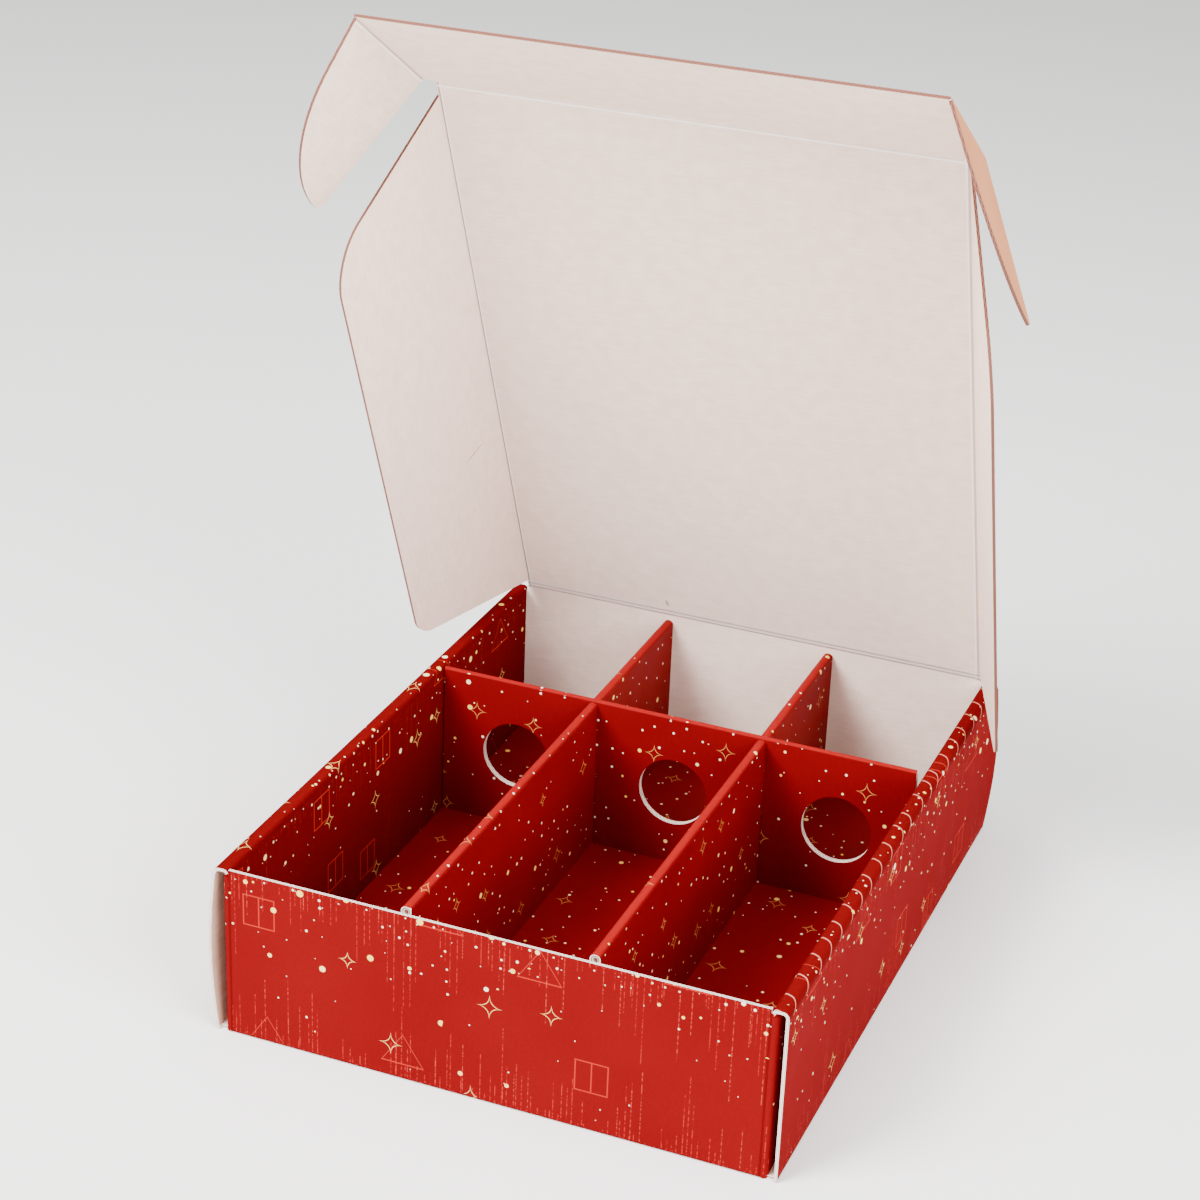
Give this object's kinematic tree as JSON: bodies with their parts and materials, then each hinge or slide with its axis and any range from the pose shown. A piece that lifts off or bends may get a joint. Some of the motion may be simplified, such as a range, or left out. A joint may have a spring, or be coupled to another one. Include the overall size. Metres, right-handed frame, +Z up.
{
  "type": "bottle shipping box",
  "caption": "Roll-end shipping box of printed corrugated board, with hinged lid, fold-in flaps, a bay insert and a cross partition for bottles lying down.",
  "frame": {"origin": "centre of the tray's underside, on the surface that it stands on", "axes": "+Z up, -Y out of the front wall, +X to the right when the front wall is seen from outside"},
  "size_m": [0.3722, 0.368, 0.4866],
  "materials": {
    "box_board": "matt",
    "insert_board": "matt"
  },
  "bodies": {
    "box": {"tray": "box_board", "bay_insert": "insert_board", "cross_partition": "insert_board"},
    "lid": {"lid_panel": "box_board"},
    "left_flap": {"lid_flap_left": "box_board"},
    "right_flap": {"lid_flap_right": "box_board"},
    "front": {"front_flap": "box_board"},
    "left_wing": {"wing_left": "box_board"},
    "right_wing": {"wing_right": "box_board"}
  },
  "joints": [
    {"name": "lid_hinge", "type": "hinge", "parent": "box", "child": "lid", "pos_m": [0, 0.1832, 0.0958], "axis": [-1, 0, 0], "range_deg": [0, 122.3]},
    {"name": "lid_flap_left_crease", "type": "hinge", "parent": "lid", "child": "left_flap", "pos_m": [-0.1401, 0.1832, 0.0958], "axis": [0, -0.3795, 0.9252], "range_deg": [-72.2, 17.8]},
    {"name": "lid_flap_right_crease", "type": "hinge", "parent": "lid", "child": "right_flap", "pos_m": [0.1401, 0.1832, 0.0958], "axis": [0, 0.3795, -0.9252], "range_deg": [-68.5, 21.5]},
    {"name": "front_flap_crease", "type": "hinge", "parent": "lid", "child": "front", "pos_m": [0, 0.04318, 0.4372], "axis": [1, 0, 0], "range_deg": [-35.7, 54.3]},
    {"name": "wing_left_crease", "type": "hinge", "parent": "front", "child": "left_wing", "pos_m": [-0.1466, 0.04318, 0.4372], "axis": [0, -0.848, 0.5299], "range_deg": [-63, 27]},
    {"name": "wing_right_crease", "type": "hinge", "parent": "front", "child": "right_wing", "pos_m": [0.1466, 0.04318, 0.4372], "axis": [0, 0.848, -0.5299], "range_deg": [-63, 27]}
  ]
}
